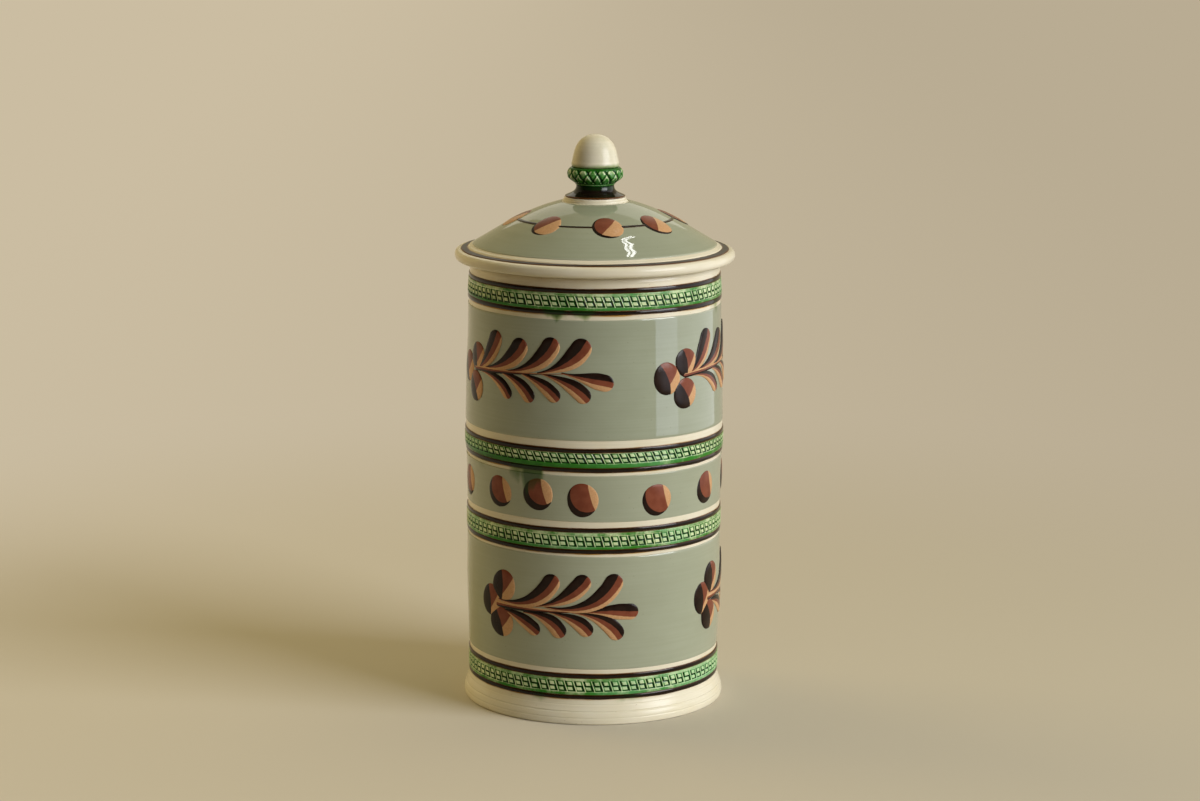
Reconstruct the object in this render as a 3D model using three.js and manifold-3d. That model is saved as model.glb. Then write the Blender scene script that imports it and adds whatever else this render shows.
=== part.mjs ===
// Mochaware canister: a thrown earthenware jar with a lift-off domed lid and an acorn knob.
// Millimetres, +Z up, origin at the centre of the foot. Angles run from the front (-Y) towards +X.
import * as THREE from "three";
import { mergeVertices } from "three/addons/utils/BufferGeometryUtils.js";
import Module from "manifold-3d";

const wasm = await Module();
wasm.setup();

// Jar wall: the foot's radius, how the wall draws in and swells above it, and the clay's thickness
const footRadius = 59.6;
const footFlare = 2.4;
const bellySwell = 0.6;
const middleSwell = 0.6;
const shoulderSwell = 1.4;
const neckDraw = 1.9;
const wallThickness = 5;
const floorThickness = 6;
const footRingWidth = 6;
const footRecess = 2.5;
const footBevel = 1;
const rimRounding = 1.2;
const insideCornerRadius = 10;

// Turned decoration on the jar, from the foot up: heights of its bands
const footHeight = 11.3;
const lineWidth = 2.1;
const rouletteHeight = 7.6;
const shoulderRouletteHeight = 6.8;
const lowerFieldHeight = 51.8;
const middleFieldHeight = 21;
const upperFieldHeight = 53.6;
const stripeUnderLowerField = 2;
const stripeOverLowerField = 1.3;
const stripeUnderMiddleField = 2.7;
const stripeOverMiddleField = 1.4;
const stripeUnderUpperField = 3.3;
const stripeOverUpperField = 2.1;
const neckHeight = 4.8;

// How far each applied layer stands off the clay, and the bedding gap under it
const fieldThickness = 0.4;
const rouletteThickness = 0.6;
const lineThickness = 0.5;
const dropThickness = 1;
const dropShoulder = 0.8;
const beddingGap = 0.1;
const dropGap = 0.3;

// Lid: flange, dome, locating collar and the pad that carries the knob
const lidOverhang = 6.8;
const lidRimThickness = 5.1;
const lidRimRounding = 2.7;
const lidLineWidth = 3.1;
const lidLineRise = 0.7;
const domeLedge = 0.9;
const domeEdgeRise = 0.5;
const domeRise = 19.5;
const domeBulge = 2.5;
const lidThickness = 5.5;
const lidSeatGap = 0.3;
const collarDepth = 8;
const collarThickness = 4.5;
const collarClearance = 1;
const padRadius = 14.6;
const padHeight = 2.8;
const garlandInset = 21.4;
const garlandWidth = 1.1;
const garlandDepth = 0.3;
const fieldEdgeMargin = 1.3;
const fieldPadMargin = 0.5;

// Knob: flared foot, rouletted cup and acorn
const knobFootRadius = 13.7;
const knobFootLip = 0.6;
const knobFootHeight = 5;
const knobNeckRadius = 8.6;
const cupRadius = 12.75;
const cupHeight = 8.3;
const cupWidestHeight = 5.1;
const cupTopRadius = 11.4;
const acornRadius = 10.8;
const acornHeight = 14.6;
const acornFullness = 2.4;

// Cat's-eyes: drops of three slips, set down by hand round the middle field and the lid
const eyeWidth = 14.4;
const eyeHeight = 14.8;
const lidEyeWidth = 13.8;
const lidEyeHeight = 15.8;
const jarEyeAngles = [-75, -46.4, -25.3, -4.9, 28.8, 59.5, 90, 117, 145, 172, 200, 228, 255];
const lidEyeAngles = [-88, -37, 9, 49.5, 97, 143, 188, 232];

// Twigs: three drops round the fork (across and up from it), a stem, and leaves poured outwards from it
const upperTwigAngles = [-64.7, 43.7, 170];
const lowerTwigAngles = [-45.3, 64.5, 188];
const upperForkDrops = [[-10.4, -0.8], [0.8, 5.3], [-0.1, -8.4]];
const lowerForkDrops = [[-7, 0.9], [1.5, 9.1], [-0.2, -8]];
const forkDropSize = 14.2;
const upperTwigReach = 63;
const lowerTwigReach = 57.6;
const upperTwigLeaves = 4;
const lowerTwigLeaves = 3;
const lowLeaves = 4;
const leafPitch = 15;
const lowLeafPitch = 12.6;
const leafRise = 17;
const leafRun = 21;
const lowLeafDrop = 10;
const lowLeafRun = 17;
const endLeafLength = 20.5;
const leafWidth = 7.4;
const leafThickness = 0.9;
const leafStations = [[0.36, 0.45], [0.8, 1], [0.96, 0.75]];
const stemWidth = 4.4;

// Faceting
const turnSegments = 32;
const knobSegments = 20;
const dropSegments = 12;
const curveSteps = 4;
const stemSteps = 8;
const strokeSides = 4;

const weldTolerance = 1e-4;
const degree = Math.PI / 180;

// Heights of the bands, worked out from the foot up
const bandOrder = [
  ["foot", footHeight],
  ["dark_line_1", lineWidth],
  ["roulette_band_1", rouletteHeight],
  ["dark_line_2", lineWidth],
  ["stripe_1", stripeUnderLowerField],
  ["slip_field_lower", lowerFieldHeight],
  ["stripe_2", stripeOverLowerField],
  ["dark_line_3", lineWidth],
  ["roulette_band_2", rouletteHeight],
  ["dark_line_4", lineWidth],
  ["stripe_3", stripeUnderMiddleField],
  ["slip_field_middle", middleFieldHeight],
  ["stripe_4", stripeOverMiddleField],
  ["dark_line_5", lineWidth],
  ["roulette_band_3", shoulderRouletteHeight],
  ["dark_line_6", lineWidth],
  ["stripe_5", stripeUnderUpperField],
  ["slip_field_upper", upperFieldHeight],
  ["stripe_6", stripeOverUpperField],
  ["dark_line_7", lineWidth],
  ["roulette_band_4", rouletteHeight],
  ["dark_line_8", lineWidth],
  ["neck", neckHeight],
];
const bands = {};
let rimTop = 0;
for (const [name, height] of bandOrder) {
  bands[name] = { bottom: rimTop, middle: rimTop + height / 2, top: rimTop + height };
  rimTop += height;
}

// The wall's outside radius at any height above the foot
const waistRadius = footRadius - footFlare;
const shoulderRadius = waistRadius + shoulderSwell;
const neckRadius = shoulderRadius - neckDraw;
const wallStations = [
  [bands.foot.top, waistRadius],
  [bands.slip_field_lower.middle, waistRadius + bellySwell],
  [bands.slip_field_middle.middle, waistRadius + middleSwell],
  [bands.slip_field_upper.bottom, shoulderRadius],
  [rimTop, neckRadius],
];
function wallRadius(height) {
  for (let i = 1; i < wallStations.length; i += 1) {
    const [low, lowRadius] = wallStations[i - 1];
    const [high, highRadius] = wallStations[i];
    if (height <= high) {
      return THREE.MathUtils.mapLinear(height, low, high, lowRadius, highRadius);
    }
  }
  return neckRadius;
}

// Radii of the lid, from its rim over the jar's neck in to the garland
const lidRimRadius = neckRadius + lidOverhang;
const flangeRadius = lidRimRadius - lidRimRounding;
const lidLineInnerRadius = flangeRadius - lidLineWidth;
const domeEdgeRadius = lidLineInnerRadius - domeLedge;
const garlandRadius = domeEdgeRadius - garlandInset;

// Heights of the lid, from its seat on the jar's rim up to the knob's pad
const lidSeat = rimTop + lidSeatGap;
const lidRimTop = lidSeat + lidRimThickness;
const lidLineTop = lidRimTop + lidLineRise;
const domeEdge = lidLineTop + domeEdgeRise;
const padTop = domeEdge + domeRise + padHeight;
function domeHeight(radius) {
  const share = (radius - padRadius) / (domeEdgeRadius - padRadius);
  return domeEdge + domeRise * (1 - share) + 4 * domeBulge * share * (1 - share);
}

// A solid turned about the jar's axis. The outline runs out along the bottom, up the outside and back in
function turned(outline, segments = turnSegments) {
  const points = outline.map(([radius, height]) => new THREE.Vector2(radius, height));
  return new THREE.LatheGeometry(points, segments).rotateX(Math.PI / 2);
}

function turnedRing(outline) {
  return turned([...outline, outline[0]]);
}

// Points of a smooth curve between two points of an outline, drawn towards a third
function curve(start, towards, end) {
  const ends = [start, towards, end].map(([radius, height]) => new THREE.Vector2(radius, height));
  const points = new THREE.QuadraticBezierCurve(...ends).getPoints(curveSteps);
  return points.map((point) => [point.x, point.y]);
}

const canister = new THREE.Group();
canister.name = "mochaware_canister";

function add(name, geometry, color, roughness) {
  const material = new THREE.MeshStandardMaterial({ color, roughness, metalness: 0 });
  const mesh = new THREE.Mesh(geometry, material);
  mesh.name = name;
  canister.add(mesh);
}

const creamGlaze = 0xd7cdaf;
const sageSlip = 0x969c84;
const darkSlip = 0x28190c;
const greenGlaze = 0x4f7a2e;
const rustSlip = 0x85503a;
const glossy = 0.15;
const satin = 0.25;

// Jar: floor with a turned foot ring, flared foot, wall with a slight swell, rounded rim
const insideNeck = neckRadius - wallThickness;
const insideFloor = wallRadius(floorThickness + insideCornerRadius) - wallThickness;
const footRingInside = footRadius - footBevel - footRingWidth;
const jarOutline = [
  [0, footRecess],
  [footRingInside - footRecess, footRecess],
  [footRingInside, 0],
  [footRadius - footBevel, 0],
  ...curve([footRadius, footBevel], [footRadius, footHeight / 2], [waistRadius, footHeight]),
  ...wallStations.slice(1, -1).map(([height, radius]) => [radius, height]),
  [wallRadius(rimTop - rimRounding), rimTop - rimRounding],
  [neckRadius - rimRounding, rimTop],
  [insideNeck + rimRounding, rimTop],
  [wallRadius(rimTop - rimRounding) - wallThickness, rimTop - rimRounding],
  ...wallStations.slice(1, -1).map(([height, radius]) => [radius - wallThickness, height]).reverse(),
  ...curve(
    [insideFloor, floorThickness + insideCornerRadius],
    [insideFloor, floorThickness],
    [insideFloor - insideCornerRadius, floorThickness],
  ),
  [0, floorThickness],
];
add("canister_body", turned(jarOutline), creamGlaze, glossy);

// Applied layers on the jar: slip fields, rouletted bands and dark lines, each a ring on the wall
function wallHeights({ bottom, top }) {
  const between = wallStations.map(([height]) => height).filter((height) => height > bottom && height < top);
  return [bottom, ...between, top];
}

function wallLayer(band, thickness) {
  const heights = wallHeights(band);
  const outside = heights.map((height) => [wallRadius(height) + beddingGap + thickness, height]);
  const inside = heights.map((height) => [wallRadius(height) + beddingGap, height]);
  return turnedRing([...outside, ...inside.reverse()]);
}

function wallLine(band) {
  const { bottom, middle, top } = band;
  return turnedRing([
    [wallRadius(bottom) + beddingGap, bottom],
    [wallRadius(middle) + beddingGap + lineThickness, middle],
    [wallRadius(top) + beddingGap, top],
  ]);
}

for (const [name] of bandOrder) {
  if (name.startsWith("slip_field")) {
    add(name, wallLayer(bands[name], fieldThickness), sageSlip, glossy);
  } else if (name.startsWith("roulette_band")) {
    add(name, wallLayer(bands[name], rouletteThickness), greenGlaze, satin);
  } else if (name.startsWith("dark_line")) {
    add(name, wallLine(bands[name]), darkSlip, glossy);
  }
}

// Poured slip is shaped flat (across, up, lift) and then laid on the curved surface that carries it
function laid(geometry, place) {
  const positions = geometry.attributes.position;
  const point = new THREE.Vector3();
  for (let i = 0; i < positions.count; i += 1) {
    point.copy(place(positions.getX(i), positions.getY(i), positions.getZ(i)));
    positions.setXYZ(i, point.x, point.y, point.z);
  }
  return geometry;
}

const fieldLift = beddingGap + fieldThickness + dropGap;
function onWall(angle, height) {
  return (across, up, lift) => {
    const radius = wallRadius(height + up) + fieldLift + lift;
    const turn = angle * degree + across / wallRadius(height);
    return new THREE.Vector3(radius * Math.sin(turn), -radius * Math.cos(turn), height + up);
  };
}

const garlandShare = (garlandRadius - padRadius) / (domeEdgeRadius - padRadius);
const domeSlope = (domeRise - 4 * domeBulge * (1 - 2 * garlandShare)) / (domeEdgeRadius - padRadius);
const domeLean = Math.atan(domeSlope);
function onDome(angle, centreRadius) {
  return (across, up, lift) => {
    const foot = centreRadius - up * Math.cos(domeLean);
    const radius = foot + lift * Math.sin(domeLean);
    const turn = angle * degree + across / centreRadius;
    const height = domeHeight(foot) + fieldLift + lift * Math.cos(domeLean);
    return new THREE.Vector3(radius * Math.sin(turn), -radius * Math.cos(turn), height);
  };
}

// A low domed drop with a flat underside
function drop(width, height) {
  const outline = [
    [0, 0],
    [1, 0],
    [dropShoulder, dropThickness * dropShoulder],
    [0, dropThickness],
  ];
  return turned(outline, dropSegments).scale(width / 2, height / 2, 1);
}

jarEyeAngles.forEach((angle, i) => {
  const place = onWall(angle, bands.slip_field_middle.middle);
  add(`cats_eye_${i + 1}`, laid(drop(eyeWidth, eyeHeight), place), rustSlip, glossy);
});

// A poured stroke: a teardrop turned on its own length, flat underneath, bent from its tail to its round end.
// Its stations are pairs of a share of the length and a share of the width
function stroke(tail, bend, end, width, stations) {
  const outline = [[0, 0], ...stations.map(([along, share]) => [share, along]), [0, 1]];
  const path = new THREE.QuadraticBezierCurve(tail, bend, end);
  return laid(turned(outline, strokeSides), (side, depth, along) => {
    const centre = path.getPoint(along);
    const heading = path.getTangent(along);
    const across = centre.x - heading.y * side * width / 2;
    const up = centre.y + heading.x * side * width / 2;
    return new THREE.Vector3(across, up, Math.max(depth, 0) * leafThickness);
  });
}

const stemStations = [];
for (let i = 1; i <= stemSteps; i += 1) {
  const along = i / (stemSteps + 1);
  stemStations.push([along, (1 + along) / 2]);
}

// Solids of revolution and strokes join into one twig
function solid(geometry) {
  const bare = geometry.clone();
  bare.deleteAttribute("normal");
  bare.deleteAttribute("uv");
  const welded = mergeVertices(bare, weldTolerance);
  return new wasm.Manifold(new wasm.Mesh({
    numProp: 3,
    vertProperties: Float32Array.from(welded.attributes.position.array),
    triVerts: Uint32Array.from(welded.index.array),
  }));
}

function joined(geometries) {
  const mesh = geometries.map(solid).reduce((whole, piece) => whole.add(piece)).getMesh();
  const geometry = new THREE.BufferGeometry();
  geometry.setAttribute("position", new THREE.BufferAttribute(mesh.vertProperties, mesh.numProp));
  geometry.setIndex(new THREE.BufferAttribute(mesh.triVerts, 1));
  geometry.computeVertexNormals();
  return geometry;
}

function twig(angle, height, reach, highLeaves, forkDrops) {
  const at = (across, up) => new THREE.Vector2(across, up);
  const leaf = (tail, bend, tip) => stroke(tail, bend, tip, leafWidth, leafStations);
  const endTail = reach - leafRun / 2;
  const stemEnd = endTail + endLeafLength / 2;
  const pieces = [
    ...forkDrops.map(([across, up]) => drop(forkDropSize, forkDropSize).translate(across, up, 0)),
    stroke(at(stemEnd, 0), at(reach / 2, 0), at(...forkDrops[0]), stemWidth, stemStations),
    leaf(at(endTail, 0), at(stemEnd, 0), at(endTail + endLeafLength, 0)),
  ];
  for (let i = 0; i < highLeaves; i += 1) {
    const tip = reach - i * leafPitch;
    pieces.push(leaf(at(tip - leafRun, 0), at(tip - leafRun / 3, 0), at(tip, leafRise)));
  }
  for (let i = 0; i < lowLeaves; i += 1) {
    const tip = reach - i * lowLeafPitch;
    pieces.push(leaf(at(tip - lowLeafRun, 0), at(tip - lowLeafRun / 2, 0), at(tip, -lowLeafDrop)));
  }
  const place = onWall(angle, height);
  return joined(pieces.map((piece) => laid(piece, place)));
}

upperTwigAngles.forEach((angle, i) => {
  const height = bands.slip_field_upper.middle;
  const geometry = twig(angle, height, upperTwigReach, upperTwigLeaves, upperForkDrops);
  add(`twig_upper_${i + 1}`, geometry, rustSlip, glossy);
});
lowerTwigAngles.forEach((angle, i) => {
  const height = bands.slip_field_lower.middle;
  const geometry = twig(angle, height, lowerTwigReach, lowerTwigLeaves, lowerForkDrops);
  add(`twig_lower_${i + 1}`, geometry, rustSlip, glossy);
});

// Lid: hollow dome, overhanging rounded flange, and a collar that drops inside the jar's mouth
const collarOutside = insideNeck - collarClearance;
const collarInside = collarOutside - collarThickness;
const collarFoot = lidSeat - collarDepth;
const domeRadii = [];
for (let i = 0; i <= curveSteps; i += 1) {
  domeRadii.push(THREE.MathUtils.lerp(domeEdgeRadius, padRadius, i / curveSteps));
}
const underDome = domeRadii.filter((radius) => radius < collarInside).reverse();
const lidRimMiddle = lidSeat + lidRimThickness / 2;
const lidOutline = [
  [0, domeHeight(padRadius) - lidThickness],
  ...underDome.map((radius) => [radius, domeHeight(radius) - lidThickness]),
  [collarInside, domeHeight(collarInside) - lidThickness],
  [collarInside, collarFoot],
  [collarOutside - collarClearance, collarFoot],
  [collarOutside, collarFoot + collarClearance],
  [collarOutside, lidSeat],
  ...curve([flangeRadius, lidSeat], [lidRimRadius, lidSeat], [lidRimRadius, lidRimMiddle]),
  ...curve([lidRimRadius, lidRimMiddle], [lidRimRadius, lidRimTop], [flangeRadius, lidRimTop]).slice(1),
  [lidLineInnerRadius, lidLineTop],
  ...domeRadii.map((radius) => [radius, domeHeight(radius)]),
  [padRadius, padTop],
  [0, padTop],
];
add("lid_dome", turned(lidOutline), creamGlaze, glossy);

// Dark line on the flange, slip field on the dome, and the garland line inlaid in the field
const lidLineMiddle = (lidLineInnerRadius + flangeRadius) / 2;
add("lid_rim_line", turnedRing([
  [lidLineInnerRadius, lidLineTop + beddingGap],
  [flangeRadius, lidRimTop + beddingGap],
  [lidLineMiddle, (lidLineTop + lidRimTop) / 2 + beddingGap + lineThickness],
]), darkSlip, glossy);

const fieldOuterRadius = domeEdgeRadius - fieldEdgeMargin;
const fieldInnerRadius = padRadius + fieldPadMargin;
const garlandOuterRadius = garlandRadius + garlandWidth / 2;
const garlandInnerRadius = garlandRadius - garlandWidth / 2;
const onField = (radius, sink = 0) => [radius, domeHeight(radius) + beddingGap + fieldThickness - sink];
const fieldRadii = [fieldOuterRadius, ...domeRadii.slice(1, -1), fieldInnerRadius];
const fieldTop = [
  ...fieldRadii.filter((radius) => radius > garlandOuterRadius).map((radius) => onField(radius)),
  onField(garlandOuterRadius),
  onField(garlandOuterRadius, garlandDepth),
  onField(garlandInnerRadius, garlandDepth),
  onField(garlandInnerRadius),
  ...fieldRadii.filter((radius) => radius < garlandInnerRadius).map((radius) => onField(radius)),
];
const fieldUnder = fieldRadii.map((radius) => [radius, domeHeight(radius) + beddingGap]);
add("lid_slip_field", turnedRing([...fieldTop, ...fieldUnder.reverse()]), sageSlip, glossy);
add("lid_garland_line", turnedRing([
  onField(garlandOuterRadius, garlandDepth),
  onField(garlandOuterRadius),
  onField(garlandInnerRadius),
  onField(garlandInnerRadius, garlandDepth),
]), darkSlip, glossy);

lidEyeAngles.forEach((angle, i) => {
  const place = onDome(angle, garlandRadius);
  add(`lid_eye_${i + 1}`, laid(drop(lidEyeWidth, lidEyeHeight), place), rustSlip, glossy);
});

// Knob: luted on the pad in three stages, each seated on the one below
const knobFootBottom = padTop + beddingGap;
const knobFootTop = knobFootBottom + knobFootHeight;
add("knob_foot", turned([
  [0, knobFootBottom],
  [knobFootRadius, knobFootBottom],
  ...curve(
    [knobFootRadius, knobFootBottom + knobFootLip],
    [knobNeckRadius, knobFootBottom + knobFootLip],
    [knobNeckRadius, knobFootTop],
  ),
  [0, knobFootTop],
], knobSegments), darkSlip, glossy);

const cupBottom = knobFootTop + beddingGap;
const cupWidest = cupBottom + cupWidestHeight;
const cupTop = cupBottom + cupHeight;
add("knob_cup", turned([
  [0, cupBottom],
  ...curve([knobNeckRadius, cupBottom], [cupRadius, cupBottom], [cupRadius, cupWidest]),
  ...curve([cupRadius, cupWidest], [cupRadius, cupTop], [cupTopRadius, cupTop]).slice(1),
  [0, cupTop],
], knobSegments), greenGlaze, satin);

const acornBottom = cupTop + beddingGap;
const acornOutline = [[0, acornBottom]];
for (let i = 0; i <= 2 * curveSteps; i += 1) {
  const turn = (i / (2 * curveSteps)) * Math.PI / 2;
  const rise = Math.sin(turn) ** (2 / acornFullness);
  const radius = i < 2 * curveSteps ? acornRadius * Math.cos(turn) ** (2 / acornFullness) : 0;
  acornOutline.push([radius, acornBottom + acornHeight * rise]);
}
add("knob_acorn", turned(acornOutline, knobSegments), creamGlaze, glossy);

export default canister;
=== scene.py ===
import math

import bpy
import numpy as np
from mathutils import Matrix, Vector


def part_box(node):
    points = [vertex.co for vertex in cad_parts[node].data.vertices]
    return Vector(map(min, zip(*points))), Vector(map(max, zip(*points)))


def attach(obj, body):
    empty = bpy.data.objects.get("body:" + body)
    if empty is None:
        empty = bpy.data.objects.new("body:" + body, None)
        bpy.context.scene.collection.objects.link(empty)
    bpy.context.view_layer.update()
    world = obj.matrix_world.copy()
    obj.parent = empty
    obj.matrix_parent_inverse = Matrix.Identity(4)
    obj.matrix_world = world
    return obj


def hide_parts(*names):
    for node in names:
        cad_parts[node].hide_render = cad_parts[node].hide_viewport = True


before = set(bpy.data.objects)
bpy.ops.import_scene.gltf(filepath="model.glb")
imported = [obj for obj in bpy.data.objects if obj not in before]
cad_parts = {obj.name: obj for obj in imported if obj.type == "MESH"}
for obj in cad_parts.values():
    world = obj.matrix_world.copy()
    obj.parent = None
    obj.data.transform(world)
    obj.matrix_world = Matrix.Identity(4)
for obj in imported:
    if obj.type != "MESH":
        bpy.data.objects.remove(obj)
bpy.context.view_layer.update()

# Camera: stands nearly a metre and a half in front of the canister, higher than its lid,
# and looks down on it by about eleven degrees, as a person at a table would.
camera_place = Vector((0, -1.4401, 0.4089))
camera_tilt = math.radians(10.705)
camera_turn = math.radians(0.104)
camera_roll = math.radians(0.269)
camera_lens = bpy.data.cameras.new("camera")
camera_lens.sensor_width = 36
camera_lens.lens = 96.15
camera = bpy.data.objects.new("camera", camera_lens)
bpy.context.scene.collection.objects.link(camera)
ahead = Vector((
    math.sin(camera_turn) * math.cos(camera_tilt),
    math.cos(camera_turn) * math.cos(camera_tilt),
    -math.sin(camera_tilt),
))
level_right = Vector((math.cos(camera_turn), -math.sin(camera_turn), 0))
level_up = level_right.cross(ahead)
camera_right = math.cos(camera_roll) * level_right + math.sin(camera_roll) * level_up
camera_up = math.cos(camera_roll) * level_up - math.sin(camera_roll) * level_right
turned_to = Matrix((camera_right, camera_up, -ahead)).transposed()
camera.matrix_world = Matrix.Translation(camera_place) @ turned_to.to_4x4()
bpy.context.scene.camera = camera

# Light: a soft lamp on the right and in front, a warm glow from the left and behind, and a warm dim ceiling.
# Two tall panes on the right, a window behind and two slits overhead show only as reflections in the glaze.
# The room is warm as well, and dim in front.
bpy.context.scene.view_settings.view_transform = "Standard"


class Shade:
    """A socket among a material's nodes. Sums with it become Math nodes."""

    def __init__(self, tree, socket=None):
        self.tree = tree
        self.socket = socket

    def node(self, kind, settings, sockets, output=0):
        made = self.tree.nodes.new(kind)
        for name, value in settings.items():
            setattr(made, name, value)
        for name, value in sockets.items():
            if isinstance(value, Shade):
                self.tree.links.new(value.socket, made.inputs[name])
            else:
                made.inputs[name].default_value = value
        return Shade(self.tree, made.outputs[output] if made.outputs else None)

    def sum(self, operation, first, second):
        return self.node("ShaderNodeMath", {"operation": operation}, {0: first, 1: second})

    def __add__(self, other):
        return self.sum("ADD", self, other)

    def __sub__(self, other):
        return self.sum("SUBTRACT", self, other)

    def __rsub__(self, other):
        return self.sum("SUBTRACT", other, self)

    def __mul__(self, other):
        return self.sum("MULTIPLY", self, other)

    __radd__ = __add__
    __rmul__ = __mul__

    def rise(self, low, high):
        """0 below low, 1 above high, eased between them."""
        ends = {"Value": self, "From Min": low, "From Max": high}
        return self.node("ShaderNodeMapRange", {"interpolation_type": "SMOOTHSTEP"}, ends)

    def over(self, under, upper):
        """The colour under, with the colour upper laid on it by this much."""
        return self.node("ShaderNodeMix", {"data_type": "RGBA"}, {0: self, 6: under, 7: upper}, 2)

    def painted(self, name):
        """A value that was worked out for each point of the piece."""
        return self.node("ShaderNodeAttribute", {"attribute_name": name}, {}, "Fac")

    def grain(self, across, up, detail=3.0):
        """Soft mottling from 0 to 1, with so many grains to a metre across and up the piece."""
        place = self.node("ShaderNodeTexCoord", {}, {}, "Object")
        drawn = self.node(
            "ShaderNodeVectorMath", {"operation": "MULTIPLY"}, {0: place, 1: (across, across, up)}
        )
        return self.node("ShaderNodeTexNoise", {}, {"Vector": drawn, "Scale": 1.0, "Detail": detail})

    def dots(self, scale):
        """Distance to the nearest of scattered points, as a share of their spacing."""
        place = self.node("ShaderNodeTexCoord", {}, {}, "Object")
        return self.node("ShaderNodeTexVoronoi", {}, {"Vector": place, "Scale": scale})

    def bump(self, depth):
        """Fine unevenness of the glaze's face, so many metres deep."""
        return self.node("ShaderNodeBump", {}, {"Strength": 1.0, "Distance": depth, "Height": self}, "Normal")


def colour(red, green, blue):
    """A colour as the eye reads it, 0 to 255, in the renderer's own scale."""
    levels = np.array((red, green, blue)) / 255
    linear = np.where(levels <= 0.04045, levels / 12.92, ((levels + 0.055) / 1.055) ** 2.4)
    return (*linear.tolist(), 1)


def lamp(name, place, towards, size, power, tint, lights=True, glints=True):
    """A soft rectangular lamp that lights the scene, shows as a glint in shiny surfaces, or both."""
    light = bpy.data.lights.new(name, "AREA")
    light.shape = "RECTANGLE"
    light.size, light.size_y = size
    light.energy = power
    light.color = tint
    holder = bpy.data.objects.new(name, light)
    aim = Vector(towards) - Vector(place)
    holder.matrix_world = Matrix.Translation(place) @ aim.to_track_quat("-Z", "Y").to_matrix().to_4x4()
    holder.visible_camera = False
    holder.visible_diffuse = lights
    holder.visible_glossy = glints
    bpy.context.scene.collection.objects.link(holder)


lamp("soft_lamp", (2.6, -1.5, 1.21), (0, 0, 0.12), (2.0, 1.8), 114, (0.97, 0.98, 1))
lamp("left_wall", (-2.13, 1.35, 0.6), (0, 0, 0.12), (1.5, 1.5), 27, (1, 0.75, 0.34), glints=False)
lamp("ceiling", (0, 0, 3.6), (0, 0, 0), (6, 6), 47, (1, 0.84, 0.45), glints=False)
lamp("window", (0.52, 0.16, 0.52), (0, 0.16, 0.52), (0.58, 1.02), 2.1, (0.84, 0.9, 1), lights=False)
lamp("near_window", (0.52, -0.254, 0.52), (0, -0.254, 0.52), (0.248, 1.02), 2.0, (0.8, 0.87, 1), lights=False)
lamp("back_window", (0, 2.0, 1.4), (0, 0, 0.22), (1.4, 1.2), 3, (1, 0.98, 0.92), lights=False)
for shift in (-0.012, 0.012):
    slit_place = (0.28 + shift, 0.48, 1.3)
    lamp("overhead_pane", slit_place, (0, 0, 0.21), (0.012, 0.16), 0.07, (1, 1, 1), lights=False)

room = bpy.data.worlds.new("room")
room.use_nodes = True
room.node_tree.nodes.clear()
air = Shade(room.node_tree)
facing = air.node("ShaderNodeTexCoord", {}, {}, "Generated")
behind = air.node("ShaderNodeSeparateXYZ", {}, {"Vector": facing}, "Y")
room_tone = behind.rise(-0.3, 0.5).over((0.03, 0.025, 0.015, 1), (0.46, 0.395, 0.24, 1))
backdrop = air.node("ShaderNodeBackground", {}, {"Color": room_tone, "Strength": 1.0})
air.node("ShaderNodeOutputWorld", {}, {"Surface": backdrop})
bpy.context.scene.world = room

# Table: a wide plain pale surface, warm as unbleached cloth, that fills the view behind the canister too.
# Near the canister it takes the light and shadow of the lamps, over colour that is painted lighter on the
# left and darker on the right as painted light; far off it keeps a fixed tone, with the same painted light
# from left to right, and throws little light back.
table_reach = 9.0
table_sides = 64
table_mesh = bpy.data.meshes.new("table")
table_ring = [
    (table_reach * math.sin(turn), table_reach * math.cos(turn), 0)
    for turn in np.linspace(2 * math.pi, 0, table_sides, endpoint=False)
]
table_mesh.from_pydata(table_ring, [], [list(range(table_sides))])
table = bpy.data.objects.new("table", table_mesh)
bpy.context.scene.collection.objects.link(table)
linen = bpy.data.materials.new("linen")
linen.use_nodes = True
linen.node_tree.nodes.clear()
cloth = Shade(linen.node_tree)
spot = cloth.node("ShaderNodeTexCoord", {}, {}, "Object")
rightward = cloth.node("ShaderNodeSeparateXYZ", {}, {"Vector": spot}, "X")
# The cloth's colour is painted lighter on the left and darker on the right: painted light
cloth_and_painted_light = rightward.rise(-0.4, 0.4).over(colour(213, 206, 191), colour(196, 190, 176))
cloth_and_painted_light = (cloth.grain(9, 9) * 0.1).over(cloth_and_painted_light, colour(190, 182, 164))
# The far tone is painted lighter on the left and darker on the right as well: painted light
backdrop_and_painted_light = rightward.rise(-0.6, 0.6).over(colour(203, 189, 162), colour(185, 172, 147))
seen = cloth.node("ShaderNodeLightPath", {}, {}, "Is Camera Ray")
shiny = cloth.node("ShaderNodeLightPath", {}, {}, "Is Glossy Ray")
clear = cloth.node("ShaderNodeLightPath", {}, {}, "Is Transmission Ray")
away = cloth.node("ShaderNodeVectorMath", {"operation": "LENGTH"}, {0: spot}, "Value")
straight = seen + shiny + clear
cloth_and_painted_light = ((1 - straight) * away.rise(0.25, 0.6)).over(cloth_and_painted_light, colour(110, 98, 80))
matt = cloth.node("ShaderNodeBsdfDiffuse", {}, {"Color": cloth_and_painted_light})
glow = cloth.node("ShaderNodeEmission", {}, {"Color": backdrop_and_painted_light, "Strength": 1.0})
cloth_face = cloth.node("ShaderNodeMixShader", {}, {0: straight * away.rise(0.2, 0.7), 1: matt, 2: glow})
cloth.node("ShaderNodeOutputMaterial", {}, {"Surface": cloth_face})
table_mesh.materials.append(linen)

# Jar: one thrown and turned cylinder of cream earthenware under a clear gloss, with a flared
# foot, a slightly swelling wall and a rounded rim. Its foot ring is wiped bare of glaze.
jar_columns = 256
chance = np.random.default_rng(11)


def span(node):
    """Lowest and highest height of a node, in millimetres."""
    low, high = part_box(node)
    return low.z * 1000, high.z * 1000


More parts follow.
